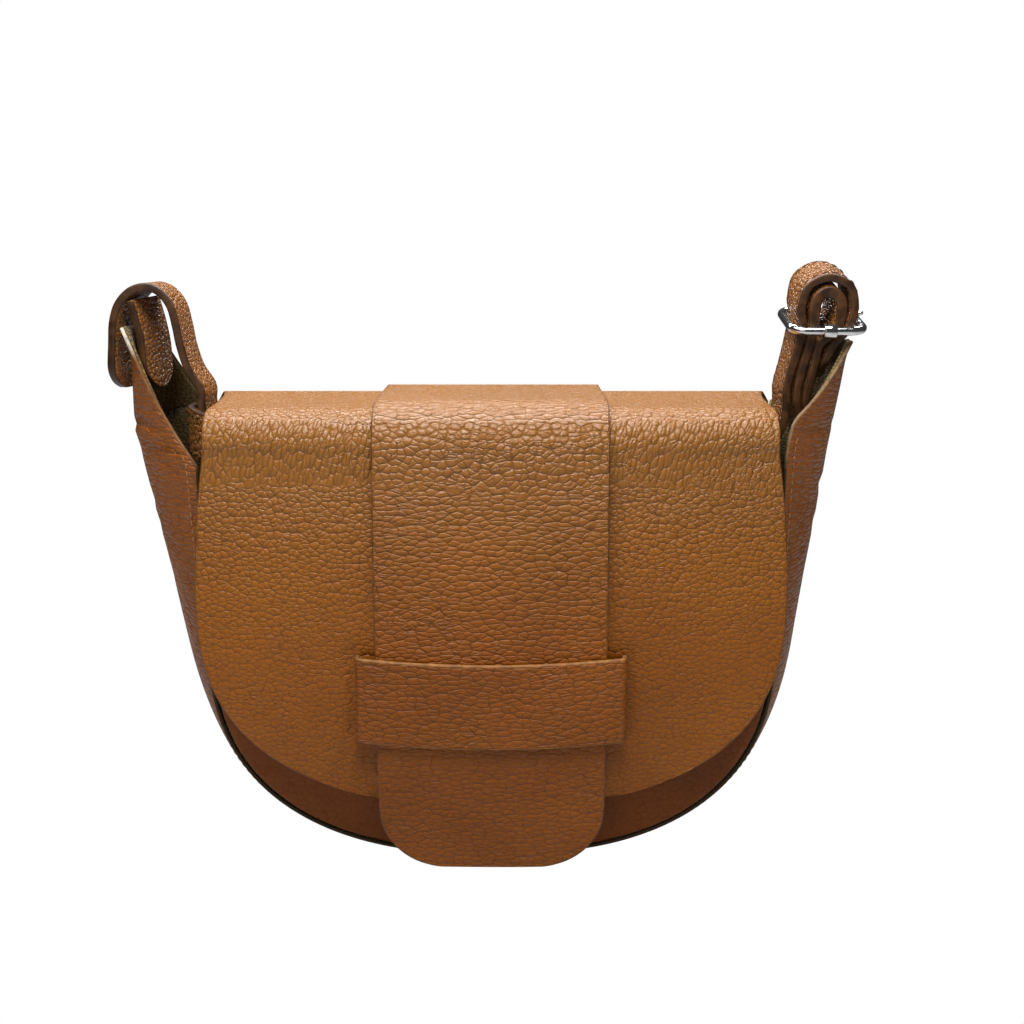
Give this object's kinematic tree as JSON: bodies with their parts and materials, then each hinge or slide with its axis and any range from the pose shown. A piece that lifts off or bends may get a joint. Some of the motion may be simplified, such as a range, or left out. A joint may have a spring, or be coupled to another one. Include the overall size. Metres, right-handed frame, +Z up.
{
  "type": "crossbody handbag",
  "caption": "Leather saddle bag with a flap, a band through a keeper loop, winged gussets and a buckled shoulder strap.",
  "frame": {"origin": "middle of the flat patch under the bag", "axes": "+Z up, -Y towards the front, +X to the viewer's right, along the bag's width"},
  "size_m": [0.2951, 0.0856, 0.2404],
  "materials": {
    "flap_leather": "pebbled, semi-gloss",
    "body_leather": "soft grain, satin",
    "strap_leather": "pebbled, painted edges",
    "edge_paint": "painted edge",
    "olive_lining": "matt, fine texture",
    "polished_metal": "polished"
  },
  "bodies": {
    "bag": {"back_panel": "body_leather", "front_panel": "body_leather", "gusset": "body_leather", "back_lining": "olive_lining", "front_lining": "olive_lining", "gusset_lining": "olive_lining", "inner_pocket": "olive_lining", "snap_socket": "polished_metal", "snap_washer": "polished_metal", "shoulder_strap": "strap_leather", "left_anchor_tab": "strap_leather", "left_rivets": "polished_metal", "buckle_tab": "strap_leather", "right_rivet": "polished_metal"},
    "flap": {"flap": "flap_leather", "flap_lining": "olive_lining", "flap_band": "flap_leather", "band_lining": "edge_paint", "keeper_loop": "flap_leather", "snap_stud": "polished_metal"},
    "buckle": {"buckle_frame": "polished_metal", "buckle_bar": "polished_metal"},
    "prong": {"buckle_prong": "polished_metal"}
  },
  "joints": [
    {"name": "flap_hinge", "type": "hinge", "parent": "bag", "child": "flap", "pos_m": [0, 0.027, 0.1825], "axis": [-1, 0, 0], "range_deg": [0, 150]},
    {"name": "buckle_tilt", "type": "hinge", "parent": "bag", "child": "buckle", "pos_m": [0.1296, 0, 0.2175], "axis": [0, -0.9703, -0.2419], "range_deg": [-5, 5]},
    {"name": "prong_swing", "type": "hinge", "parent": "buckle", "child": "prong", "pos_m": [0.1296, 0, 0.2175], "axis": [0, -0.9703, -0.2419], "range_deg": [0, 6]}
  ]
}
